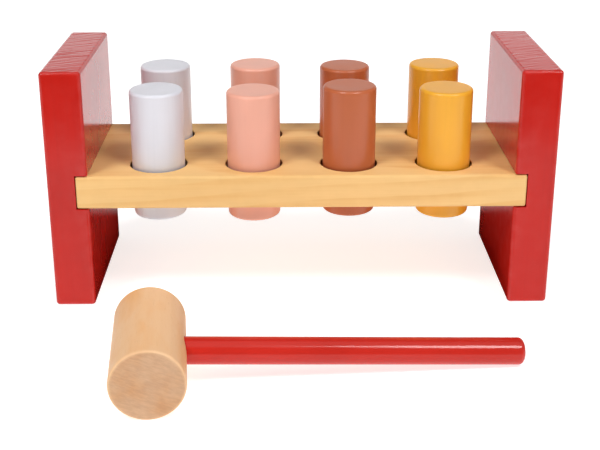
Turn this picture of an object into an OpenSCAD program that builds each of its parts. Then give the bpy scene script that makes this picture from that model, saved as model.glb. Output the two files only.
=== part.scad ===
// Toy hammer bench: a pegboard plank housed between two end panels, eight pegs held by
// friction rings, and a mallet that lies in front of the bench.
// Millimetres, +Z up, the bench's front faces -Y. The origin is on the floor at the middle
// of the set, so the bench and the hammer reach equally far behind and in front of it.

/* [Bench] */
// Width over both end panels
bench_w = 250; // [240:1:270]
// Depth of the panels and the plank, front to back
bench_d = 88; // [84:1:110]
// Height of the end panels
bench_h = 122; // [118:1:140]
// Thickness of an end panel
panel_t = 20; // [18:0.5:24]
// Thickness of the plank
plank_t = 17; // [14:0.5:20]
// Depth of the groove that houses each end of the plank
dado_depth = 6; // [4:0.5:8]
// Rounding of the panels' edges
panel_edge_r = 1.8; // [0.5:0.1:3]
// Rounding of the plank's long edges
plank_edge_r = 1.6; // [0.5:0.1:3]

/* [Pegs] */
// Diameter of a peg
peg_d = 26.5; // [24:0.1:27]
// Length of a peg
peg_len = 65; // [60:0.5:68]
// How far a peg stands above the plank when it is up
peg_above = 39; // [34:0.5:42]
// Distance between neighbouring pegs, along and across the plank
peg_pitch = 48; // [44:0.5:50]
// Rounding of a peg's two ends
peg_edge_r = 1.6; // [0.5:0.1:3]
// Diameter of a peg's hole in the plank
hole_d = 28.6; // [28:0.1:30]
// How much higher each peg of the front row stands, left to right
front_rise = [0, -0.8, 1.5, 0.2]; // [-2:0.1:2]
// How much higher each peg of the back row stands, left to right
back_rise = [0, 0.4, -0.6, 0.2]; // [-2:0.1:2]

/* [Friction rings] */
// Thickness of the rubber ring inside each hole
ring_t = 3.2; // [2.6:0.1:4]
// Gap between a ring and its peg, all round
ring_gap = 0.05; // [0.02:0.01:0.1]

/* [Joint dowels] */
// Diameter of the dowels that pin the plank to the panels
dowel_d = 8; // [6:0.5:10]
// Length of a dowel
dowel_len = 26; // [20:1:30]
// How far a dowel reaches into its panel
dowel_in_panel = 10; // [6:0.5:12]
// Distance between the two dowels of a joint
dowel_spacing = 44; // [30:1:60]

/* [Hammer] */
// Diameter of the hammer's head
head_d = 33; // [31:0.5:37]
// Length of the head
head_len = 61; // [54:1:66]
// Rounding of the head's two rims
head_edge_r = 1.5; // [0.5:0.1:3]
// Diameter of the handle
handle_d = 12.4; // [11:0.1:14]
// Length of the handle from the head's axis to its free end
handle_reach = 169.5; // [150:0.5:180]
// Rounding of the handle's free end
handle_edge_r = 2.2; // [1:0.1:2.5]
// Rounding of the handle's glued end
tenon_edge_r = 0.8; // [0.3:0.1:2]
// Depth of the handle's socket in the head
socket_depth = 22; // [16:0.5:26]
// Sideways place of the head's middle
hammer_x = -68.5; // [-80:0.5:-45]
// Distance from the bench's front face to the head's middle
hammer_gap = 76.7; // [60:0.1:95]
// How far the hammer is turned on the floor
hammer_yaw = 5.3; // [0:0.1:10]

/* [Hidden] */
$fn = 96;

RED = [0.75, 0.16, 0.13];
PINE = [0.92, 0.75, 0.50];
BEECH = [0.86, 0.68, 0.50];
WHITE = [0.90, 0.89, 0.91];
PINK = [0.95, 0.70, 0.61];
BROWN = [0.76, 0.43, 0.28];
YELLOW = [0.95, 0.69, 0.22];
RUBBER = [0.10, 0.10, 0.10];

WHITE_COLUMN = 0;
PINK_COLUMN = 1;
BROWN_COLUMN = 2;
YELLOW_COLUMN = 3;
FRONT = 0;
BACK = 1;

// The set's box is centred on the origin: the hammer's head reaches this far before the bench
head_half = head_len / 2 - head_edge_r;
hammer_reach = hammer_gap + head_half * cos(hammer_yaw)
    + (head_d / 2 - head_edge_r) * sin(hammer_yaw) + head_edge_r;
front_y = (hammer_reach - bench_d) / 2;
mid_y = front_y + bench_d / 2;

plank_len = bench_w - 2 * panel_t + 2 * dado_depth;
plank_z = (bench_h - plank_t) / 2;
plank_top = plank_z + plank_t;
peg_z = plank_top + peg_above - peg_len;
peg_r = peg_d / 2;

ring_r = ring_t / 2;
ring_mid_r = peg_r + ring_gap + ring_r;
groove_r = ring_mid_r + ring_r;

// The hammer rests on its head's side and on the end of its handle
end_run = handle_reach - handle_edge_r;
end_rise = handle_d / 2 - handle_edge_r;
handle_tilt = asin((head_d / 2 - handle_edge_r) / norm([end_run, end_rise]))
    - atan(end_rise / end_run);

CUT = 1;

function peg_x(column) = (column - 1.5) * peg_pitch;
function peg_y(row) = mid_y + (row - 0.5) * peg_pitch;
function peg_rise(row, column) = row == FRONT ? front_rise[column] : back_rise[column];

// A rectangle with rounded corners, its lower left corner at the origin
module rounded_rectangle(width, height, r) {
    translate([r, 0]) square([width - 2 * r, height]);
    translate([0, r]) square([width, height - 2 * r]);
    for (x = [r, width - r], y = [r, height - r]) translate([x, y]) circle(r);
}

// Half the outline of a round bar with rounded rims, to turn about Z
module bar_profile(r, length, low_edge_r, high_edge_r) {
    translate([0, low_edge_r]) square([r, length - low_edge_r - high_edge_r]);
    square([r - low_edge_r, length / 2]);
    translate([0, length / 2]) square([r - high_edge_r, length / 2]);
    translate([r - low_edge_r, low_edge_r]) circle(low_edge_r);
    translate([r - high_edge_r, length - high_edge_r]) circle(high_edge_r);
}

// A block whose twelve edges are rounded, its lowest corner at the origin
module rounded_block(width, depth, height, r) {
    intersection() {
        linear_extrude(height) rounded_rectangle(width, depth, r);
        translate([0, depth, 0]) rotate([90, 0, 0])
            linear_extrude(depth) rounded_rectangle(width, height, r);
        rotate([90, 0, 90]) linear_extrude(width) rounded_rectangle(depth, height, r);
    }
}

// One dowel of the right-hand joint, along X
module dowel(y) {
    inner_x = plank_len / 2 + dowel_in_panel - dowel_len;
    translate([inner_x, y, plank_z + plank_t / 2]) rotate([0, 90, 0])
        cylinder(h = dowel_len, d = dowel_d);
}

// Both dowels of the right-hand joint
module dowel_pair() {
    for (side = [-1, 1]) dowel(mid_y + side * dowel_spacing / 2);
}

// The right-hand end panel with its groove and dowel sockets
module end_panel() {
    inner_x = bench_w / 2 - panel_t;
    difference() {
        translate([inner_x, front_y, 0])
            rounded_block(panel_t, bench_d, bench_h, panel_edge_r);
        translate([inner_x - CUT, front_y - CUT, plank_z])
            cube([dado_depth + CUT, bench_d + 2 * CUT, plank_t]);
        dowel_pair();
    }
}

module left_end_panel() {
    color(RED) mirror([1, 0, 0]) end_panel();
}

module right_end_panel() {
    color(RED) end_panel();
}

module left_joint_dowels() {
    color(BEECH) mirror([1, 0, 0]) dowel_pair();
}

module right_joint_dowels() {
    color(BEECH) dowel_pair();
}

// A peg's hole through the plank, with the groove that seats its ring
module peg_hole(row, column) {
    translate([peg_x(column), peg_y(row), 0]) {
        translate([0, 0, plank_z - CUT]) cylinder(h = plank_t + 2 * CUT, d = hole_d);
        translate([0, 0, plank_z + (plank_t - ring_t) / 2]) cylinder(h = ring_t, r = groove_r);
    }
}

module bench_plank() {
    color(PINE)
        difference() {
            translate([-plank_len / 2, front_y, plank_z]) rotate([90, 0, 90])
                linear_extrude(plank_len) rounded_rectangle(bench_d, plank_t, plank_edge_r);
            for (row = [FRONT, BACK], column = [WHITE_COLUMN:YELLOW_COLUMN])
                peg_hole(row, column);
            dowel_pair();
            mirror([1, 0, 0]) dowel_pair();
        }
}

// A round peg with both rims rounded
module peg(row, column) {
    translate([peg_x(column), peg_y(row), peg_z + peg_rise(row, column)])
        rotate_extrude() bar_profile(peg_r, peg_len, peg_edge_r, peg_edge_r);
}

// A rubber ring with a flat back, which grips its peg halfway through the plank
module friction_ring(row, column) {
    translate([peg_x(column), peg_y(row), plank_z + plank_t / 2])
        rotate_extrude() {
            translate([ring_mid_r, 0]) circle(ring_r);
            translate([ring_mid_r, -ring_r]) square([ring_r, ring_t]);
        }
}

module peg_front_white() {
    color(WHITE) peg(FRONT, WHITE_COLUMN);
}

module peg_front_pink() {
    color(PINK) peg(FRONT, PINK_COLUMN);
}

module peg_front_brown() {
    color(BROWN) peg(FRONT, BROWN_COLUMN);
}

module peg_front_yellow() {
    color(YELLOW) peg(FRONT, YELLOW_COLUMN);
}

module peg_back_white() {
    color(WHITE) peg(BACK, WHITE_COLUMN);
}

module peg_back_pink() {
    color(PINK) peg(BACK, PINK_COLUMN);
}

module peg_back_brown() {
    color(BROWN) peg(BACK, BROWN_COLUMN);
}

module peg_back_yellow() {
    color(YELLOW) peg(BACK, YELLOW_COLUMN);
}

module ring_front_white() {
    color(RUBBER) friction_ring(FRONT, WHITE_COLUMN);
}

module ring_front_pink() {
    color(RUBBER) friction_ring(FRONT, PINK_COLUMN);
}

module ring_front_brown() {
    color(RUBBER) friction_ring(FRONT, BROWN_COLUMN);
}

module ring_front_yellow() {
    color(RUBBER) friction_ring(FRONT, YELLOW_COLUMN);
}

module ring_back_white() {
    color(RUBBER) friction_ring(BACK, WHITE_COLUMN);
}

module ring_back_pink() {
    color(RUBBER) friction_ring(BACK, PINK_COLUMN);
}

module ring_back_brown() {
    color(RUBBER) friction_ring(BACK, BROWN_COLUMN);
}

module ring_back_yellow() {
    color(RUBBER) friction_ring(BACK, YELLOW_COLUMN);
}

// Places the hammer on the floor: the head's axis runs back and the handle to the right
module lay_hammer() {
    translate([hammer_x, front_y - hammer_gap, head_d / 2])
        rotate([0, 0, hammer_yaw]) rotate([0, handle_tilt, 0])
            children();
}

// The handle along +X, from the bottom of its socket to its free end
module handle_bar() {
    inner_x = head_d / 2 - socket_depth;
    translate([inner_x, 0, 0]) rotate([0, 90, 0])
        rotate_extrude() bar_profile(handle_d / 2, handle_reach - inner_x, tenon_edge_r, handle_edge_r);
}

module hammer_head() {
    color(BEECH) lay_hammer()
        difference() {
            translate([0, head_len / 2, 0]) rotate([90, 0, 0])
                rotate_extrude() bar_profile(head_d / 2, head_len, head_edge_r, head_edge_r);
            translate([head_d / 2 - socket_depth, 0, 0]) rotate([0, 90, 0])
                cylinder(h = socket_depth + CUT, d = handle_d);
        }
}

module hammer_handle() {
    color(RED) lay_hammer() handle_bar();
}

bench_plank();
left_end_panel();
right_end_panel();
left_joint_dowels();
right_joint_dowels();
peg_front_white();
peg_front_pink();
peg_front_brown();
peg_front_yellow();
peg_back_white();
peg_back_pink();
peg_back_brown();
peg_back_yellow();
ring_front_white();
ring_front_pink();
ring_front_brown();
ring_front_yellow();
ring_back_white();
ring_back_pink();
ring_back_brown();
ring_back_yellow();
hammer_head();
hammer_handle();
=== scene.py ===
"""Builds the finished look of a toy hammer bench around its fixed frame.

All lengths are in metres. Each piece is made in the frame's own coordinates and rides on a body.
"""

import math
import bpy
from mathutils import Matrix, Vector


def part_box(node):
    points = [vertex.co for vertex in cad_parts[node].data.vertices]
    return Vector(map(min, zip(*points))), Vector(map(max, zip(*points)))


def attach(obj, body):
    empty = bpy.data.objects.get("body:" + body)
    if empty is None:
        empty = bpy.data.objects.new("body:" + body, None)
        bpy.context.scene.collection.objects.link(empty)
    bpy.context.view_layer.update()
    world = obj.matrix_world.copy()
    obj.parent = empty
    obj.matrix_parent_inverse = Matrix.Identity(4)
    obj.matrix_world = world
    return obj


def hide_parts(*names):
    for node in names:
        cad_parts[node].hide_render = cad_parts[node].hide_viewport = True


bl_info = {
    "name": "Toy Hammer Bench",
    "version": (1, 0, 0),
    "blender": (4, 5, 0),
    "location": "3D View > Sidebar > Hammer Bench",
    "description": "Builds a toy hammer bench with its pegs and hammer, and a plain studio",
    "category": "Add Mesh",
}

import bmesh
import bpy
from bpy.props import FloatProperty, FloatVectorProperty, PointerProperty
from mathutils import Matrix, Vector

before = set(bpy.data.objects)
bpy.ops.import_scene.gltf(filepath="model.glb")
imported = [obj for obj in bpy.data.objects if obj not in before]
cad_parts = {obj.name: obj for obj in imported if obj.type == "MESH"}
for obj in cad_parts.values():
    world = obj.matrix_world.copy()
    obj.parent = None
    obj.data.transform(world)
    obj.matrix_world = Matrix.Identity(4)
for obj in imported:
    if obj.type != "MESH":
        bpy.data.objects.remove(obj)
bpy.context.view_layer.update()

MM = 0.001
ROWS = ("front", "back")
PEG_COLOURS = ("white", "pink", "brown", "yellow")
WHITE = (1.0, 1.0, 1.0, 1.0)

# Marks on the meshes' corners that the finishes read
# Edges made lighter: partly rubbing, partly a painted highlight
RUBBED_AND_LIT_EDGE = "worn_edge"
# Walls of the holes, given painted shade
PAINTED_HOLE_SHADE = "bored"

# Faces across each rounding and round each turned piece, and the rings on its flat ends as
# shares of the radius. Edges that turn more sharply than this stay crisp.
ROUND_STEPS = 6
TURNED_STEPS = 96
CAP_RINGS = (0.35, 0.7)
SHARP_TURN = math.radians(40)

# Half the floor's width, and the wall's radius and height
FLOOR_REACH = 9.0
WALL_REACH = 2.8

# The cards of painted shade: how high they lie, how black they are, and how wide the two side strips
# are
CARD_HEIGHT = 0.2 * MM
PAINTED_SHADE_BLACK = (0.008, 0.008, 0.008)
STRIP_WIDTH = 25 * MM

# Distances behind the bench where its painted shade cards are clear and where they are fully black
BEHIND_CLEAR = 70 * MM
BEHIND_FULL = 30 * MM

# Along Y, the same for the painted shade card before the set, and how far that card reaches
BEFORE_CLEAR = -220 * MM
BEFORE_FULL = -310 * MM
BEFORE_REACH = 3.0

# Where the lamps stand and how broad they are, with the spot that they face
LAMP_TARGET = Vector((0.0, 0.0, 0.06))
SIDE_LAMP_PLACE = (0.75, -0.80, 1.50)
SIDE_LAMP_SIZE = (0.5, 0.5)
TOP_LAMP_PLACE = (0.0, -0.35, 2.4)
TOP_LAMP_SIZE = (2.8, 2.4)
BACK_LAMP_PLACE = (0.0, 2.0, 0.45)
BACK_LAMP_SIZE = (3.2, 0.55)

# Width of the camera's sensor, in the millimetres that lenses are given in
SENSOR_WIDTH = 36.0


# ---------------------------------------------------------------- what a maker would change

class BenchSizes(bpy.types.PropertyGroup):
    """Roundings and clearances of the bench and its pegs."""

    panel_rounding: FloatProperty(
        name="Panel Rounding", description="Rounding of the end panels' outer edges",
        default=1.8 * MM, min=0.2 * MM, max=4 * MM, subtype="DISTANCE", unit="LENGTH")
    plank_rounding: FloatProperty(
        name="Plank Rounding", description="Rounding of the plank's long edges",
        default=1.6 * MM, min=0.2 * MM, max=4 * MM, subtype="DISTANCE", unit="LENGTH")
    plank_end_rounding: FloatProperty(
        name="Plank End Rounding", description="Rounding of the plank's two ends",
        default=1.2 * MM, min=0.1 * MM, max=2 * MM, subtype="DISTANCE", unit="LENGTH")
    groove_rounding: FloatProperty(
        name="Groove Rounding", description="Rounding of the grooves that house the plank",
        default=0.3 * MM, min=0.05 * MM, max=1 * MM, subtype="DISTANCE", unit="LENGTH")
    seam: FloatProperty(
        name="Seam", description="Gap between the plank's end and its groove",
        default=0.25 * MM, min=0.0, max=0.5 * MM, subtype="DISTANCE", unit="LENGTH")
    hole_diameter: FloatProperty(
        name="Hole Diameter", description="Diameter of a peg's hole in the plank",
        default=28.6 * MM, min=28 * MM, max=30 * MM, subtype="DISTANCE", unit="LENGTH")
    hole_rounding: FloatProperty(
        name="Hole Rounding", description="Rounding of a hole's rim",
        default=0.55 * MM, min=0.1 * MM, max=2 * MM, subtype="DISTANCE", unit="LENGTH")
    peg_rounding: FloatProperty(
        name="Peg Rounding", description="Rounding of a peg's two rims",
        default=1.6 * MM, min=0.2 * MM, max=4 * MM, subtype="DISTANCE", unit="LENGTH")


class HammerSizes(bpy.types.PropertyGroup):
    """Sizes of the hammer and how it lies."""

    head_diameter: FloatProperty(
        name="Head Diameter", description="Diameter of the hammer's head",
        default=33 * MM, min=31 * MM, max=37 * MM, subtype="DISTANCE", unit="LENGTH")
    head_length: FloatProperty(
        name="Head Length", description="Length of the hammer's head",
        default=61 * MM, min=54 * MM, max=66 * MM, subtype="DISTANCE", unit="LENGTH")
    head_rounding: FloatProperty(
        name="Head Rounding", description="Rounding of the head's two rims",
        default=1.5 * MM, min=0.2 * MM, max=4 * MM, subtype="DISTANCE", unit="LENGTH")
    handle_diameter: FloatProperty(
        name="Handle Diameter", description="Diameter of the handle",
        default=12.4 * MM, min=11 * MM, max=14 * MM, subtype="DISTANCE", unit="LENGTH")
    handle_reach: FloatProperty(
        name="Handle Reach", description="From the head's axis to the handle's free end",
        default=169.5 * MM, min=150 * MM, max=180 * MM, subtype="DISTANCE", unit="LENGTH")
    handle_rounding: FloatProperty(
        name="Handle Rounding", description="Rounding of the handle's free end",
        default=2.2 * MM, min=0.2 * MM, max=4 * MM, subtype="DISTANCE", unit="LENGTH")
    tenon_rounding: FloatProperty(
        name="Tenon Rounding", description="Rounding of the handle's glued end",
        default=0.8 * MM, min=0.2 * MM, max=2 * MM, subtype="DISTANCE", unit="LENGTH")
    socket_depth: FloatProperty(
        name="Socket Depth", description="Depth of the handle's socket in the head",
        default=22 * MM, min=16 * MM, max=26 * MM, subtype="DISTANCE", unit="LENGTH")
    socket_gap: FloatProperty(
        name="Socket Gap", description="Gap round the handle where it enters the head",
        default=0.1 * MM, min=0.0, max=0.4 * MM, subtype="DISTANCE", unit="LENGTH")
    turn: FloatProperty(
        name="Turn", description="How far the hammer is turned on the floor",
        default=math.radians(5.3), min=0.0, max=math.radians(10), subtype="ANGLE",
        unit="ROTATION")


def colour_property(name, description, default):
    """A colour that the user picks."""
    return FloatVectorProperty(
        name=name, description=description, default=default, min=0.0, max=1.0, size=3,
        subtype="COLOR")


class BenchColours(bpy.types.PropertyGroup):
    """Colours of the woods, the lacquer, the paints and the rubber."""

    red: colour_property(
        "Panel Red", "Lacquer on the two end panels", (0.52, 0.009, 0.0035))
    handle_red: colour_property(
        "Handle Red", "Lacquer on the hammer's handle", (0.57, 0.022, 0.013))
    pine: colour_property("Pine", "Pale wood between the plank's rings", (0.86, 0.545, 0.22))
    pine_ring: colour_property("Pine Ring", "Dark wood of the plank's rings", (0.74, 0.36, 0.09))
    beech: colour_property("Beech", "Wood of the hammer's head and the dowels", (0.86, 0.55, 0.31))
    beech_fleck: colour_property("Beech Fleck", "Short dark flecks in the beech", (0.62, 0.34, 0.17))
    white: colour_property("White Paint", "Paint on the white pegs", (0.74, 0.735, 0.79))
    pink: colour_property("Pink Paint", "Paint on the pink pegs", (0.88, 0.42, 0.31))
    brown: colour_property("Brown Paint", "Paint on the brown pegs", (0.52, 0.13, 0.046))
    yellow: colour_property("Yellow Paint", "Paint on the yellow pegs", (0.90, 0.42, 0.03))
    rubber: colour_property("Rubber", "Rubber of the rings in the holes", (0.015, 0.014, 0.014))


class StudioSettings(bpy.types.PropertyGroup):
    """The camera, the floor and the lamps."""

    camera_place: FloatVectorProperty(
        name="Camera Place", description="Where the camera stands",
        default=(-8.6 * MM, -493.3 * MM, 254.1 * MM), size=3, subtype="TRANSLATION",
        unit="LENGTH")
    camera_dip: FloatProperty(
        name="Camera Dip", description="How far the camera looks down",
        default=math.radians(19.56), subtype="ANGLE", unit="ROTATION")
    camera_turn: FloatProperty(
        name="Camera Turn", description="How far the camera looks to the right",
        default=math.radians(0.87), subtype="ANGLE", unit="ROTATION")
    lens: FloatProperty(
        name="Lens", description="Focal length for a sensor 36 mm wide",
        default=65.76, min=10.0, max=200.0, unit="CAMERA")
    shift: FloatProperty(
        name="Shift", description="Upward shift of the lens, as a share of the picture's width",
        default=-0.10, min=-0.2, max=0.2, subtype="FACTOR")
    floor_colour: colour_property("Floor", "Colour of the floor", (0.65, 0.65, 0.65))
    floor_glow: FloatProperty(
        name="Floor Glow", description="Light that comes through the floor from beneath",
        default=0.72, min=0.0, max=2.0, subtype="FACTOR")
    room_light: FloatProperty(
        name="Room Light", description="Strength of the light from all round",
        default=0.14, min=0.0, max=3.0, subtype="FACTOR")
    side_lamp_power: FloatProperty(
        name="Side Lamp Power", description="Power of each of the two front lamps",
        default=12.6, min=0.0, max=200.0, unit="POWER")
    top_lamp_power: FloatProperty(
        name="Top Lamp Power", description="Power of the large lamp overhead",
        default=15.0, min=0.0, max=400.0, unit="POWER")
    back_lamp_power: FloatProperty(
        name="Back Lamp Power", description="Power of the low, broad lamp behind the set",
        default=4.8, min=0.0, max=200.0, unit="POWER")


# ---------------------------------------------------------------- shapes

def ring_of_points(radius, height):
    """Points all the way round the Z axis."""
    angles = [2 * math.pi * step / TURNED_STEPS for step in range(TURNED_STEPS)]
    return [(radius * math.cos(a), radius * math.sin(a), height) for a in angles]


def quarter_round(radius, height, rounding, start):
    """Points of a quarter circle on a turned rim, from the angle start onwards."""
    points = []
    for step in range(ROUND_STEPS + 1):
        angle = start + math.pi / 2 * step / ROUND_STEPS
        points.append((
            radius - rounding + rounding * math.cos(angle),
            height + rounding * math.sin(angle)))
    return points


def bar_profile(radius, low, high, low_rounding, high_rounding, side_rings=5):
    """Half the outline of a round bar, from the middle of its low end to that of its high end."""
    profile = [(0.0, low)] + [(radius * share, low) for share in CAP_RINGS]
    profile += quarter_round(radius, low + low_rounding, low_rounding, -math.pi / 2)
    start, end = low + low_rounding, high - high_rounding
    for ring in range(1, side_rings + 1):
        profile.append((radius, start + (end - start) * ring / (side_rings + 1)))
    profile += quarter_round(radius, end, high_rounding, 0.0)
    profile += [(radius * share, high) for share in reversed(CAP_RINGS)] + [(0.0, high)]
    return profile


def turn_on_lathe(profile, mesh=None):
    """A closed round solid about Z, from outline points that start and end on the axis."""
    mesh = mesh or bmesh.new()
    low = mesh.verts.new((0, 0, profile[0][1]))
    high = mesh.verts.new((0, 0, profile[-1][1]))
    rings = [
        [mesh.verts.new(point) for point in ring_of_points(radius, height)]
        for radius, height in profile[1:-1]]
    for here in range(TURNED_STEPS):
        there = (here + 1) % TURNED_STEPS
        mesh.faces.new((low, rings[0][there], rings[0][here]))
        mesh.faces.new((high, rings[-1][here], rings[-1][there]))
        for below, above in zip(rings, rings[1:]):
            mesh.faces.new((below[here], below[there], above[there], above[here]))
    return mesh


def put_in_scene(name, mesh, material=None):
    """Turns a bmesh into an object in the scene."""
    data = bpy.data.meshes.new(name)
    mesh.to_mesh(data)
    mesh.free()
    piece = bpy.data.objects.new(name, data)
    bpy.context.scene.collection.objects.link(piece)
    if material is not None:
        data.materials.append(material)
    return piece


def apply_modifiers(piece):
    """Makes the mesh that the modifiers give the piece's own."""
    graph = bpy.context.evaluated_depsgraph_get()
    finished = bpy.data.meshes.new_from_object(piece.evaluated_get(graph))
    rough = piece.data
    piece.modifiers.clear()
    piece.data = finished
    bpy.data.meshes.remove(rough)


def cut_away(piece, cutter):
    """Cuts the cutter out of the piece, and throws the cutter away."""
    cut = piece.modifiers.new("cut", "BOOLEAN")
    cut.operation = "DIFFERENCE"
    cut.solver = "EXACT"
    cut.object = cutter
    apply_modifiers(piece)
    spent = cutter.data
    bpy.data.objects.remove(cutter)
    bpy.data.meshes.remove(spent)


def round_edges(piece, rounding):
    """Rounds the edges by their weights, the whole rounding where the weight is 1."""
    bevel = piece.modifiers.new("rounding", "BEVEL")
    bevel.limit_method = "WEIGHT"
    bevel.width = rounding
    bevel.segments = ROUND_STEPS
    apply_modifiers(piece)


def finish_surface(piece):
    """Smooths the shading, and notes the edges that the finishes make lighter: partly rubbing from
    handling, partly a painted highlight on the roundings.
    """
    mesh = bmesh.new()
    mesh.from_mesh(piece.data)
    edge_rub_and_sheen = mesh.verts.layers.float.get(RUBBED_AND_LIT_EDGE) or mesh.verts.layers.float.new(RUBBED_AND_LIT_EDGE)
    flat, full = math.radians(6), math.radians(14)
    for vert in mesh.verts:
        turns = [e.calc_face_angle_signed(0.0) for e in vert.link_edges if len(e.link_faces) == 2]
        vert[edge_rub_and_sheen] = min(1.0, max(0.0, (max(turns, default=0.0) - flat) / (full - flat)))
    mesh.to_mesh(piece.data)
    mesh.free()
    piece.data.shade_smooth()
    piece.data.set_sharp_from_angle(angle=SHARP_TURN)
    weighted = piece.modifiers.new("even shading", "WEIGHTED_NORMAL")
    weighted.keep_sharp = True


def hand_over(piece, body, node):
    """Lets the piece ride on its body in place of a node of the frame."""
    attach(piece, body)
    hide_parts(node)


def middle(low, high):
    """The point halfway between two corners."""
    return (low + high) / 2


# ---------------------------------------------------------------- finishes

class Finish:
    """Lays out the nodes of one material."""

    def __init__(self, name):
        self.material = bpy.data.materials.new(name)
        self.material.use_nodes = True
        self.tree = self.material.node_tree
        self.shader = self.tree.nodes["Principled BSDF"]
        self.place = self.add("ShaderNodeTexCoord").outputs["Object"]

    def add(self, kind, inputs=None, **settings):
        """Adds a node, sets it up, and feeds its inputs with numbers or other nodes' outputs."""
        node = self.tree.nodes.new(kind)
        for name, value in settings.items():
            setattr(node, name, value)
        for socket, value in (inputs or {}).items():
            self.feed(node.inputs[socket], value)
        return node

    def feed(self, socket, value):
        """Links an output to the socket, or sets its number."""
        if isinstance(value, bpy.types.NodeSocket):
            self.tree.links.new(value, socket)
        else:
            socket.default_value = value

    def turned(self, turn, shift=(0.0, 0.0, 0.0)):
        """The place on the piece, turned and then shifted."""
        return self.add("ShaderNodeMapping", {
            "Vector": self.place, "Rotation": turn, "Location": shift}).outputs["Vector"]

    def noise(self, scale, detail=2.0, rough=0.5, distortion=0.0, shift=(0.0, 0.0, 0.0), place=None):
        """Noise between 0 and 1, with that many features per metre along each axis."""
        stretched = self.add("ShaderNodeMapping", {
            "Vector": place or self.place, "Scale": scale, "Location": shift}).outputs["Vector"]
        return self.add("ShaderNodeTexNoise", {
            "Vector": stretched, "Scale": 1.0, "Detail": detail, "Roughness": rough,
            "Distortion": distortion}).outputs["Fac"]

    def maths(self, operation, first, second=0.0):
        """One step of arithmetic."""
        return self.add(
            "ShaderNodeMath", {0: first, 1: second}, operation=operation).outputs[0]

    def between(self, value, low, high, new_low=0.0, new_high=1.0):
        """Spreads the value from low to high smoothly over new_low to new_high."""
        return self.add("ShaderNodeMapRange", {
            "Value": value, "From Min": low, "From Max": high, "To Min": new_low,
            "To Max": new_high}, interpolation_type="SMOOTHSTEP").outputs["Result"]

    def blend(self, amount, first, second, kind="MIX"):
        """Mixes two colours."""
        mixed = self.add("ShaderNodeMix", data_type="RGBA", blend_type=kind)
        self.feed(mixed.inputs[0], amount)
        self.feed(mixed.inputs[6], first)
        self.feed(mixed.inputs[7], second)
        return mixed.outputs[2]

    def end_grain(self, axis):
        """1 where the surface faces along the grain's axis, and 0 where it runs with the grain."""
        facing = self.add("ShaderNodeSeparateXYZ", {
            "Vector": self.add("ShaderNodeTexCoord").outputs["Normal"]}).outputs[axis]
        return self.between(self.maths("ABSOLUTE", facing), 0.75, 0.98)

    def rub_and_highlight(self, amount):
        """How rubbed and how lit each edge is: the marked edges, broken up by noise. Their lighter
        colour is partly rubbing and partly a painted highlight.
        """
        edge = self.add("ShaderNodeAttribute", attribute_name=RUBBED_AND_LIT_EDGE).outputs["Fac"]
        patches = self.between(self.noise((160, 160, 160), 4.0), 0.35, 0.7, 0.35, 1.0)
        return self.maths("MULTIPLY", self.maths("MULTIPLY", edge, patches), amount)

    def relief(self, layers):
        """Stacks (height, depth in metres) layers of fine relief."""
        normal = None
        for height, depth in layers:
            inputs = {"Height": height, "Distance": depth, "Strength": 1.0}
            if normal is not None:
                inputs["Normal"] = normal
            normal = self.add("ShaderNodeBump", inputs).outputs["Normal"]
        self.feed(self.shader.inputs["Normal"], normal)

    def set(self, **values):
        """Sets or links the shader's inputs by name, with _ for a space."""
        for name, value in values.items():
            self.feed(self.shader.inputs[name.replace("_", " ")], value)


def opaque(colour, strength=1.0):
    """A colour with its alpha, made lighter or darker by strength."""
    return tuple(min(1.0, part * strength) for part in colour) + (1.0,)


def along_axis(axis, along, across):
    """Scales that are small along one axis and large across it."""
    return tuple(along if name == axis else across for name in "XYZ")


def red_lacquer(colour, axis, name):
    """Gloss lacquer over wood whose grain runs along the axis."""
    finish = Finish(name)
    clouds = finish.noise((30, 30, 30), 2.0)
    grain = finish.noise(along_axis(axis, 22, 620), 3.0, 0.6)
    ripple = finish.noise(along_axis(axis, 16, 80), 0.0, 0.5, 0.4)
    specks = finish.noise((900, 900, 900), 1.0)
    rings = finish.noise(
        (55, 430, 55), 1.0, 0.5, 0.3, place=finish.turned((0.0, 0.0, math.radians(-24))))
    end_rings = finish.maths("MULTIPLY", rings, finish.end_grain(axis))
    coat = finish.blend(finish.between(clouds, 0.3, 0.7), opaque(colour, 0.95), opaque(colour, 1.05))
    coat = finish.blend(finish.between(grain, 0.35, 0.75, 0.0, 0.25), coat, opaque(colour, 0.86))
    # Lighter red on the edges: partly thinner lacquer, partly a painted highlight
    thin = tuple(min(1.0, part + 0.05) for part in colour)
    coat = finish.blend(finish.rub_and_highlight(0.35), coat, opaque(thin, 1.1))
    finish.set(
        Base_Color=coat,
        Roughness=finish.between(clouds, 0.3, 0.7, 0.12, 0.18),
        IOR=1.38)
    finish.relief([
        (ripple, 0.009 * MM), (end_rings, 0.25 * MM), (grain, 0.0003 * MM), (specks, 0.0003 * MM)])
    return finish.material


def growth_rings(finish, spacing, turn, heart, wobble):
    """Rings about the tree's heart, as a saw-tooth that rises outwards through each ring."""
    across = finish.add("ShaderNodeVectorMath", {
        0: finish.turned(turn, heart), 1: (0.0, 1.0, 1.0)}, operation="MULTIPLY").outputs["Vector"]
    radius = finish.add("ShaderNodeVectorMath", {0: across}, operation="LENGTH").outputs["Value"]
    slow = finish.noise((9, 26, 26), 2.0, 0.5)
    quick = finish.noise((30, 160, 160), 2.0, 0.5)
    wander = finish.maths(
        "ADD", finish.maths("MULTIPLY", slow, wobble),
        finish.maths("MULTIPLY", quick, wobble * 0.12))
    count = finish.maths("ADD", finish.maths("DIVIDE", radius, spacing), wander)
    return finish.maths("FRACT", count)


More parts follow.
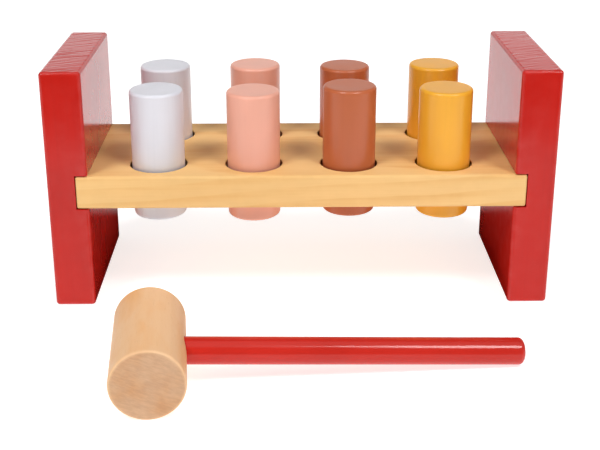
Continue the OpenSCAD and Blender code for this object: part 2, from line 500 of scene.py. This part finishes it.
def varnished_pine(pale, ring):
    """Pine with thin clear varnish: growth rings, fine fibres, and painted shade on the walls of the
    holes.
    """
    finish = Finish("varnished pine")
    lean = (0.0, math.radians(3.4), math.radians(1.2))
    heart = (0.0, -40 * MM, 18 * MM)
    saw = growth_rings(finish, 7.0 * MM, lean, heart, wobble=1.3)
    late = finish.maths("MULTIPLY", finish.between(saw, 0.30, 0.86), finish.between(saw, 1.0, 0.90))
    fibres = finish.noise((42, 2300, 2300), 3.0, 0.6)
    streaks = finish.noise((10, 330, 330), 2.0, 0.5)
    clouds = finish.noise((11, 34, 34), 2.0, 0.5, shift=(3.1, 1.7, 0.4))
    wood = finish.blend(finish.between(clouds, 0.3, 0.7), opaque(pale, 0.96), opaque(pale, 1.05))
    strength = finish.maths("MULTIPLY", late, finish.between(streaks, 0.25, 0.75, 0.08, 0.50))
    wood = finish.blend(strength, wood, opaque(ring))
    wood = finish.blend(finish.between(fibres, 0.4, 0.8, 0.0, 0.13), wood, opaque(ring, 0.9))
    wood = finish.blend(finish.between(streaks, 0.62, 0.85, 0.0, 0.2), wood, opaque(ring, 0.95))
    wood = finish.blend(finish.rub_and_highlight(0.35), wood, opaque(pale, 1.1))
    # Painted shade: the walls of the holes darkened almost to black
    bored = finish.add("ShaderNodeAttribute", attribute_name=PAINTED_HOLE_SHADE).outputs["Fac"]
    wood = finish.blend(finish.maths("MULTIPLY", bored, 0.9), wood, opaque(ring, 0.16))
    finish.set(
        Base_Color=wood,
        Roughness=finish.between(fibres, 0.2, 0.8, 0.48, 0.62),
        IOR=1.38)
    finish.relief([(late, 0.02 * MM), (fibres, 0.018 * MM)])
    return finish.material


def bare_beech(wood_colour, fleck_colour, axis, name):
    """Sanded beech whose grain runs along the axis, with short flecks and mottled end grain."""
    finish = Finish(name)
    clouds = finish.noise(along_axis(axis, 24, 62), 3.0, 0.55, shift=(1.3, 0.2, 2.4))
    bands = finish.noise(along_axis(axis, 6, 210), 2.0, 0.55)
    flecks = finish.noise(along_axis(axis, 260, 2100), 1.0, 0.4)
    pores = finish.noise(along_axis(axis, 130, 2900), 2.0, 0.6)
    rays = finish.noise(
        (280, 280, 1300), 4.0, 0.6, place=finish.turned((0.0, math.radians(-20), 0.0)))
    warm = tuple(part * tint for part, tint in zip(wood_colour, (1.0, 0.86, 0.68)))
    wood = finish.blend(finish.between(clouds, 0.38, 0.72), opaque(wood_colour, 1.03), opaque(warm))
    wood = finish.blend(finish.between(bands, 0.35, 0.75, 0.0, 0.16), wood, opaque(fleck_colour, 1.2))
    wood = finish.blend(finish.between(flecks, 0.62, 0.8, 0.0, 0.22), wood, opaque(fleck_colour))
    dark_cut, pale_cut = opaque((0.66, 0.61, 0.62)), opaque((0.75, 0.71, 0.73))
    cut = finish.blend(finish.between(rays, 0.3, 0.7), dark_cut, pale_cut)
    shade = finish.blend(finish.end_grain(axis), WHITE, cut)
    wood = finish.blend(1.0, wood, shade, "MULTIPLY")
    # Paler edges: partly rubbing, partly a painted highlight on the rims
    wood = finish.blend(finish.rub_and_highlight(0.35), wood, opaque(wood_colour, 1.12))
    finish.set(
        Base_Color=wood,
        Roughness=finish.between(pores, 0.2, 0.8, 0.46, 0.62),
        IOR=1.45)
    finish.relief([(pores, 0.012 * MM), (bands, 0.01 * MM)])
    return finish.material


def peg_paint(colour, name):
    """Satin paint brushed along a peg, with the grain just showing through it."""
    finish = Finish(name)
    clouds = finish.noise((60, 60, 24), 2.0)
    grain = finish.noise((520, 520, 18), 3.0, 0.6)
    brush = finish.noise((380, 380, 14), 0.0)
    orange_peel = finish.noise((420, 420, 300), 0.0)
    paint = finish.blend(finish.between(clouds, 0.3, 0.7), opaque(colour, 0.97), opaque(colour, 1.03))
    paint = finish.blend(finish.between(grain, 0.4, 0.8, 0.0, 0.2), paint, opaque(colour, 0.88))
    paint = finish.blend(finish.rub_and_highlight(0.4), paint, opaque(colour, 1.12))
    finish.set(
        Base_Color=paint,
        Roughness=finish.between(clouds, 0.25, 0.75, 0.29, 0.35),
        IOR=1.5)
    finish.relief([(brush, 0.006 * MM), (orange_peel, 0.002 * MM)])
    return finish.material


def soft_rubber(colour):
    """Matt rubber with a fine moulded texture."""
    finish = Finish("soft rubber")
    bloom = finish.noise((120, 120, 120), 3.0)
    texture = finish.noise((3200, 3200, 3200), 2.0)
    rubber = finish.blend(finish.between(bloom, 0.4, 0.75), opaque(colour), opaque(colour, 1.9))
    finish.set(
        Base_Color=rubber,
        Roughness=finish.between(bloom, 0.2, 0.8, 0.6, 0.8),
        IOR=1.5)
    finish.relief([(texture, 0.012 * MM)])
    return finish.material


def studio_paper(colour, glow):
    """Matt background paper that glows a little, as if lit from beneath."""
    finish = Finish("studio paper")
    fibres = finish.noise((240, 240, 240), 2.0)
    finish.set(
        Base_Color=opaque(colour),
        Roughness=finish.between(fibres, 0.2, 0.8, 0.92, 1.0),
        Specular_IOR_Level=0.0,
        Emission_Color=WHITE,
        Emission_Strength=glow)
    return finish.material


def painted_shade_finish(name, clear, full):
    """Painted shade: a matt black sheet, clear from beneath, that fades in along Y from clear to
    full.
    """
    finish = Finish(name)
    along = finish.add("ShaderNodeSeparateXYZ", {"Vector": finish.place}).outputs["Y"]
    above = finish.maths(
        "SUBTRACT", 1.0, finish.add("ShaderNodeNewGeometry").outputs["Backfacing"])
    fibres = finish.noise((300, 300, 300), 2.0)
    finish.set(
        Base_Color=finish.blend(fibres, opaque(PAINTED_SHADE_BLACK), opaque(PAINTED_SHADE_BLACK, 2.0)),
        Roughness=1.0,
        Specular_IOR_Level=0.0,
        Alpha=finish.maths("MULTIPLY", above, finish.between(along, clear, full)))
    return finish.material


# ---------------------------------------------------------------- pieces

def end_panel(side, sizes, material):
    """An end panel with the groove for the plank's end. Side is -1 on the left, 1 on the right."""
    node = "left_end_panel" if side < 0 else "right_end_panel"
    low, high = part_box(node)
    plank_low, plank_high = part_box("bench_plank")
    outer = low.x if side < 0 else high.x
    inner = high.x if side < 0 else low.x
    groove = plank_low.x - sizes.seam if side < 0 else plank_high.x + sizes.seam
    groove_low, groove_high = plank_low.z - sizes.seam, plank_high.z + sizes.seam
    outline = [
        (outer, low.z), (inner, low.z), (inner, groove_low), (groove, groove_low),
        (groove, groove_high), (inner, groove_high), (inner, high.z), (outer, high.z)]
    mesh = bmesh.new()
    fronts = [mesh.verts.new((x, low.y, z)) for x, z in outline]
    backs = [mesh.verts.new((x, high.y, z)) for x, z in outline]
    mesh.faces.new(fronts)
    mesh.faces.new(backs)
    for here in range(len(outline)):
        there = (here + 1) % len(outline)
        mesh.faces.new((fronts[here], fronts[there], backs[there], backs[here]))
    bmesh.ops.recalc_face_normals(mesh, faces=mesh.faces)
    weights = mesh.edges.layers.float.new("bevel_weight_edge")
    small = sizes.groove_rounding / sizes.panel_rounding
    for edge in mesh.edges:
        if edge.calc_face_angle_signed(0.0) < 0:
            continue
        beside_groove = any(
            groove_low - MM < vert.co.z < groove_high + MM for vert in edge.verts)
        upright = abs(edge.verts[0].co.z - edge.verts[1].co.z) > sizes.panel_rounding
        in_groove = all(abs(vert.co.x - groove) < MM for vert in edge.verts)
        edge[weights] = small if beside_groove and (in_groove or not upright) else 1.0
    piece = put_in_scene(node.replace("_end_", "_lacquered_"), mesh, material)
    round_edges(piece, sizes.panel_rounding)
    finish_surface(piece)
    hand_over(piece, "bench", node)


def hole_cutter(mesh, row, colour, sizes):
    """The waste of one peg's hole, with its rounded rims and the groove for its ring."""
    ring_low, ring_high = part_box(f"ring_{row}_{colour}")
    plank_low, plank_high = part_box("bench_plank")
    centre = middle(ring_low, ring_high)
    radius, rounding = sizes.hole_diameter / 2, sizes.hole_rounding
    groove = (ring_high.x - ring_low.x) / 2
    mouth = []
    for step in range(ROUND_STEPS + 1):
        angle = math.pi / 2 * step / ROUND_STEPS
        mouth.append((
            radius + rounding - rounding * math.cos(angle),
            plank_high.z - rounding + rounding * math.sin(angle)))
    upper = [(groove, ring_high.z), (radius, ring_high.z)] + mouth
    upper += [(radius + rounding, plank_high.z + MM), (0.0, plank_high.z + MM)]
    level = plank_low.z + plank_high.z
    lower = [(r, level - height) for r, height in reversed(upper)]
    before = set(mesh.verts)
    turn_on_lathe(lower + upper, mesh)
    added = [vert for vert in mesh.verts if vert not in before]
    bmesh.ops.translate(mesh, vec=(centre.x, centre.y, 0), verts=added)


def mark_hole_shade(piece, sizes):
    """Notes which part of the plank is the wall of a hole, fading out over its rounded rims, for the
    painted shade inside the holes.
    """
    low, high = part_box("bench_plank")
    centres = [
        middle(*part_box(f"ring_{row}_{colour}")).xy for row in ROWS for colour in PEG_COLOURS]
    rim = 1.5 * sizes.hole_rounding
    reach = sizes.hole_diameter / 2 + rim
    mesh = bmesh.new()
    mesh.from_mesh(piece.data)
    bored = mesh.verts.layers.float.new(PAINTED_HOLE_SHADE)
    for vert in mesh.verts:
        depth = min(high.z - vert.co.z, vert.co.z - low.z)
        if any((vert.co.xy - centre).length < reach for centre in centres):
            vert[bored] = min(1.0, max(0.0, depth / sizes.hole_rounding))
    mesh.to_mesh(piece.data)
    mesh.free()


def bench_plank(sizes, material):
    """The plank, with its eight holes."""
    low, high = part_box("bench_plank")
    mesh = bmesh.new()
    bmesh.ops.create_cube(mesh, size=1.0)
    size, centre = high - low, middle(low, high)
    for vert in mesh.verts:
        vert.co = Vector(a * b for a, b in zip(vert.co, size)) + centre
    weights = mesh.edges.layers.float.new("bevel_weight_edge")
    small = sizes.plank_end_rounding / sizes.plank_rounding
    for edge in mesh.edges:
        lengthwise = abs(edge.verts[0].co.x - edge.verts[1].co.x) > MM
        edge[weights] = 1.0 if lengthwise else small
    piece = put_in_scene("plank_pine", mesh, material)
    round_edges(piece, sizes.plank_rounding)
    cutters = bmesh.new()
    for row in ROWS:
        for colour in PEG_COLOURS:
            hole_cutter(cutters, row, colour, sizes)
    cut_away(piece, put_in_scene("hole cutters", cutters))
    mark_hole_shade(piece, sizes)
    finish_surface(piece)
    hand_over(piece, "bench", "bench_plank")


def painted_peg(row, colour, sizes, material):
    """One round peg."""
    node = f"peg_{row}_{colour}"
    low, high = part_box(node)
    centre = middle(low, high)
    rounding = sizes.peg_rounding
    mesh = turn_on_lathe(
        bar_profile((high.x - low.x) / 2, low.z, high.z, rounding, rounding))
    bmesh.ops.translate(mesh, vec=(centre.x, centre.y, 0), verts=mesh.verts)
    piece = put_in_scene(f"{row}_{colour}_peg", mesh, material)
    finish_surface(piece)
    hand_over(piece, node, node)


def hammer_place(sizes):
    """Where the hammer lies: on its head's side and on the end of its handle."""
    low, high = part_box("hammer_head")
    run = sizes.handle_reach - sizes.handle_rounding
    rise = sizes.handle_diameter / 2 - sizes.handle_rounding
    drop = sizes.head_diameter / 2 - sizes.handle_rounding
    tilt = math.asin(drop / math.hypot(run, rise)) - math.atan2(rise, run)
    return (Matrix.Translation(middle(low, high)) @ Matrix.Rotation(sizes.turn, 4, "Z")
            @ Matrix.Rotation(tilt, 4, "Y"))


def handle_profile(sizes):
    """The handle's outline, from the bottom of its socket to its free end."""
    start = sizes.head_diameter / 2 - sizes.socket_depth
    return bar_profile(
        sizes.handle_diameter / 2, start, sizes.handle_reach,
        sizes.tenon_rounding, sizes.handle_rounding, side_rings=12)


def hammer_head(sizes, material):
    """The round head with the socket for its handle."""
    half, rounding = sizes.head_length / 2, sizes.head_rounding
    mesh = turn_on_lathe(
        bar_profile(sizes.head_diameter / 2, -half, half, rounding, rounding))
    bmesh.ops.rotate(
        mesh, matrix=Matrix.Rotation(-math.pi / 2, 3, "X"), verts=mesh.verts)
    piece = put_in_scene("hammer_head_beech", mesh, material)
    radius = sizes.handle_diameter / 2 + sizes.socket_gap
    start = sizes.head_diameter / 2 - sizes.socket_depth
    waste = turn_on_lathe([
        (0.0, start), (radius * 0.5, start), (radius, start),
        (radius, sizes.head_diameter), (0.0, sizes.head_diameter)])
    bmesh.ops.rotate(
        waste, matrix=Matrix.Rotation(math.pi / 2, 3, "Y"), verts=waste.verts)
    cut_away(piece, put_in_scene("socket cutter", waste))
    finish_surface(piece)
    piece.matrix_world = hammer_place(sizes)
    hand_over(piece, "hammer", "hammer_head")


def hammer_handle(sizes, material):
    """The lacquered handle."""
    mesh = turn_on_lathe(handle_profile(sizes))
    bmesh.ops.rotate(
        mesh, matrix=Matrix.Rotation(math.pi / 2, 3, "Y"), verts=mesh.verts)
    piece = put_in_scene("hammer_handle_lacquered", mesh, material)
    finish_surface(piece)
    piece.matrix_world = hammer_place(sizes)
    hand_over(piece, "hammer", "hammer_handle")


def give_finish(node, material):
    """Gives a piece of the frame its finish."""
    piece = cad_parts[node]
    piece.data.materials.clear()
    piece.data.materials.append(material)


# ---------------------------------------------------------------- studio

def studio_floor(paper):
    """A wide sheet of paper under the set."""
    mesh = bmesh.new()
    bmesh.ops.create_grid(mesh, x_segments=24, y_segments=24, size=FLOOR_REACH)
    floor = put_in_scene("studio_floor", mesh, paper)


def studio_wall(paper):
    """A wall of the same paper all round the set, well away from it. Only the camera sees it."""
    mesh = bmesh.new()
    low, high = (
        [mesh.verts.new(point) for point in ring_of_points(WALL_REACH, height)]
        for height in (0.0, WALL_REACH))
    for here in range(TURNED_STEPS):
        there = (here + 1) % TURNED_STEPS
        mesh.faces.new((low[there], low[here], high[here], high[there]))
    wall = put_in_scene("studio_wall", mesh, paper)
    wall.visible_diffuse = False
    wall.visible_glossy = False
    wall.visible_shadow = False


def lay_painted_shade(name, low, high, clear, full):
    """A sheet of painted shade on the floor between two corners. The camera and the lamps see through
    it.
    """
    corners = ((low.x, low.y), (high.x, low.y), (high.x, high.y), (low.x, high.y))
    mesh = bmesh.new()
    mesh.faces.new([mesh.verts.new((x, y, CARD_HEIGHT)) for x, y in corners])
    card = put_in_scene(name, mesh, painted_shade_finish(name.replace("_", " "), clear, full))
    card.visible_camera = False
    card.visible_shadow = False
    return card


def painted_shade_sheets():
    """Sheets of painted shade that the lacquer reflects: the shadowed floor under and behind the
    bench, and a dark floor before the set. The two beside the end panels shade them as well, by
    holding back bounced light.
    """
    left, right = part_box("left_end_panel"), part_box("right_end_panel")
    front, back = left[0].y, right[1].y
    edges = (left[1].x, left[1].x + STRIP_WIDTH, right[0].x - STRIP_WIDTH, right[0].x)
    names = ("card_by_left_panel", "card_under_bench", "card_by_right_panel")
    for name, low, high in zip(names, edges, edges[1:]):
        # Painted shade under and beside the bench, fading out behind it
        card = lay_painted_shade(
            name, Vector((low, front)), Vector((high, back + BEHIND_CLEAR)),
            clear=back + BEHIND_CLEAR, full=back + BEHIND_FULL)
        card.visible_diffuse = name != "card_under_bench"
    # Painted shade before the set, seen only in reflections
    before = lay_painted_shade(
        "card_before_set", Vector((-BEFORE_REACH, -BEFORE_REACH)),
        Vector((BEFORE_REACH, BEFORE_CLEAR)), clear=BEFORE_CLEAR, full=BEFORE_FULL)
    before.visible_diffuse = False


def softbox(name, place, size, power):
    """A broad rectangular lamp that faces the target."""
    lamp = bpy.data.lights.new(name, "AREA")
    lamp.shape = "RECTANGLE"
    lamp.size, lamp.size_y = size
    lamp.energy = power
    stand = bpy.data.objects.new(name, lamp)
    bpy.context.scene.collection.objects.link(stand)
    stand.location = place
    stand.rotation_euler = (LAMP_TARGET - Vector(place)).to_track_quat("-Z", "Y").to_euler()


def studio_lamps(studio):
    """A pair of lamps in front, one overhead and a low one behind."""
    across, before, height = SIDE_LAMP_PLACE
    for name, side in (("left lamp", -1), ("right lamp", 1)):
        softbox(name, (side * across, before, height), SIDE_LAMP_SIZE, studio.side_lamp_power)
    softbox("top lamp", TOP_LAMP_PLACE, TOP_LAMP_SIZE, studio.top_lamp_power)
    softbox("back lamp", BACK_LAMP_PLACE, BACK_LAMP_SIZE, studio.back_lamp_power)


def studio_room(strength):
    """Even white light from all round."""
    world = bpy.data.worlds.new("studio room")
    world.use_nodes = True
    background = world.node_tree.nodes["Background"]
    background.inputs["Color"].default_value = WHITE
    background.inputs["Strength"].default_value = strength
    bpy.context.scene.world = world


def studio_camera(studio):
    """The camera, set up and made the scene's own."""
    dip, turn = studio.camera_dip, studio.camera_turn
    ahead = Vector((
        math.sin(turn) * math.cos(dip), math.cos(turn) * math.cos(dip), -math.sin(dip)))
    right = Vector((math.cos(turn), -math.sin(turn), 0.0))
    up = right.cross(ahead)
    lens = bpy.data.cameras.new("studio camera")
    lens.sensor_width = SENSOR_WIDTH
    lens.lens = studio.lens
    lens.shift_y = studio.shift
    lens.clip_start, lens.clip_end = 0.01, 60.0
    camera = bpy.data.objects.new("studio camera", lens)
    bpy.context.scene.collection.objects.link(camera)
    camera.matrix_world = Matrix.Translation(studio.camera_place) @ Matrix(
        (right, up, -ahead)).transposed().to_4x4()
    bpy.context.scene.camera = camera


# ---------------------------------------------------------------- operators

class HAMMERBENCH_OT_end_panels(bpy.types.Operator):
    """Builds the two lacquered end panels"""

    bl_idname = "hammer_bench.end_panels"
    bl_label = "End Panels"

    def execute(self, context):
        sizes, colours = context.scene.bench_sizes, context.scene.bench_colours
        material = red_lacquer(colours.red, "Z", "red lacquer on panels")
        for side in (-1, 1):
            end_panel(side, sizes, material)
        return {"FINISHED"}


class HAMMERBENCH_OT_plank(bpy.types.Operator):
    """Builds the pine plank with its eight holes"""

    bl_idname = "hammer_bench.plank"
    bl_label = "Plank"

    def execute(self, context):
        colours = context.scene.bench_colours
        bench_plank(context.scene.bench_sizes, varnished_pine(colours.pine, colours.pine_ring))
        return {"FINISHED"}


class HAMMERBENCH_OT_pegs(bpy.types.Operator):
    """Builds the eight painted pegs"""

    bl_idname = "hammer_bench.pegs"
    bl_label = "Pegs"

    def execute(self, context):
        colours = context.scene.bench_colours
        for colour in PEG_COLOURS:
            material = peg_paint(getattr(colours, colour), f"{colour} peg paint")
            for row in ROWS:
                painted_peg(row, colour, context.scene.bench_sizes, material)
        return {"FINISHED"}


class HAMMERBENCH_OT_rings(bpy.types.Operator):
    """Gives the friction rings in the holes their rubber"""

    bl_idname = "hammer_bench.rings"
    bl_label = "Friction Rings"

    def execute(self, context):
        material = soft_rubber(context.scene.bench_colours.rubber)
        for row in ROWS:
            for colour in PEG_COLOURS:
                give_finish(f"ring_{row}_{colour}", material)
        return {"FINISHED"}


class HAMMERBENCH_OT_dowels(bpy.types.Operator):
    """Gives the joint dowels their bare beech"""

    bl_idname = "hammer_bench.dowels"
    bl_label = "Joint Dowels"

    def execute(self, context):
        colours = context.scene.bench_colours
        material = bare_beech(colours.beech, colours.beech_fleck, "X", "dowel beech")
        for node in ("left_joint_dowels", "right_joint_dowels"):
            give_finish(node, material)
        return {"FINISHED"}


class HAMMERBENCH_OT_hammer_head(bpy.types.Operator):
    """Builds the hammer's beech head"""

    bl_idname = "hammer_bench.hammer_head"
    bl_label = "Hammer Head"

    def execute(self, context):
        colours = context.scene.bench_colours
        material = bare_beech(colours.beech, colours.beech_fleck, "Y", "head beech")
        hammer_head(context.scene.hammer_sizes, material)
        return {"FINISHED"}


class HAMMERBENCH_OT_hammer_handle(bpy.types.Operator):
    """Builds the hammer's lacquered handle"""

    bl_idname = "hammer_bench.hammer_handle"
    bl_label = "Hammer Handle"

    def execute(self, context):
        colours = context.scene.bench_colours
        material = red_lacquer(colours.handle_red, "X", "red lacquer on handle")
        hammer_handle(context.scene.hammer_sizes, material)
        return {"FINISHED"}


class HAMMERBENCH_OT_studio(bpy.types.Operator):
    """Sets up the paper, the painted shade cards, the lamps, the room's light and the camera"""

    bl_idname = "hammer_bench.studio"
    bl_label = "Studio"

    def execute(self, context):
        studio = context.scene.studio_settings
        paper = studio_paper(studio.floor_colour, studio.floor_glow)
        studio_floor(paper)
        studio_wall(paper)
        painted_shade_sheets()
        studio_lamps(studio)
        studio_room(studio.room_light)
        context.scene.view_settings.view_transform = "Standard"
        studio_camera(studio)
        return {"FINISHED"}


class HAMMERBENCH_PT_sidebar(bpy.types.Panel):
    """Lists the pieces of the hammer bench"""

    bl_idname = "HAMMERBENCH_PT_sidebar"
    bl_label = "Hammer Bench"
    bl_space_type = "VIEW_3D"
    bl_region_type = "UI"
    bl_category = "Hammer Bench"

    def draw(self, context):
        column = self.layout.column(align=True)
        for operator in BUILD_ORDER:
            column.operator(operator.bl_idname)


SETTINGS = {
    "bench_sizes": BenchSizes,
    "hammer_sizes": HammerSizes,
    "bench_colours": BenchColours,
    "studio_settings": StudioSettings,
}
BUILD_ORDER = (
    HAMMERBENCH_OT_end_panels,
    HAMMERBENCH_OT_plank,
    HAMMERBENCH_OT_pegs,
    HAMMERBENCH_OT_rings,
    HAMMERBENCH_OT_dowels,
    HAMMERBENCH_OT_hammer_head,
    HAMMERBENCH_OT_hammer_handle,
    HAMMERBENCH_OT_studio,
)
CLASSES = (*SETTINGS.values(), *BUILD_ORDER, HAMMERBENCH_PT_sidebar)


def register():
    """Makes the settings, operators and sidebar known."""
    for made in CLASSES:
        bpy.utils.register_class(made)
    for name, group in SETTINGS.items():
        setattr(bpy.types.Scene, name, PointerProperty(type=group))


def unregister():
    """Takes the settings, operators and sidebar away again."""
    for name in SETTINGS:
        delattr(bpy.types.Scene, name)
    for made in reversed(CLASSES):
        bpy.utils.unregister_class(made)


def main():
    """Builds every piece and the studio."""
    register()
    bpy.ops.hammer_bench.end_panels()
    bpy.ops.hammer_bench.plank()
    bpy.ops.hammer_bench.pegs()
    bpy.ops.hammer_bench.rings()
    bpy.ops.hammer_bench.dowels()
    bpy.ops.hammer_bench.hammer_head()
    bpy.ops.hammer_bench.hammer_handle()
    bpy.ops.hammer_bench.studio()


if __name__ == "__main__":
    main()
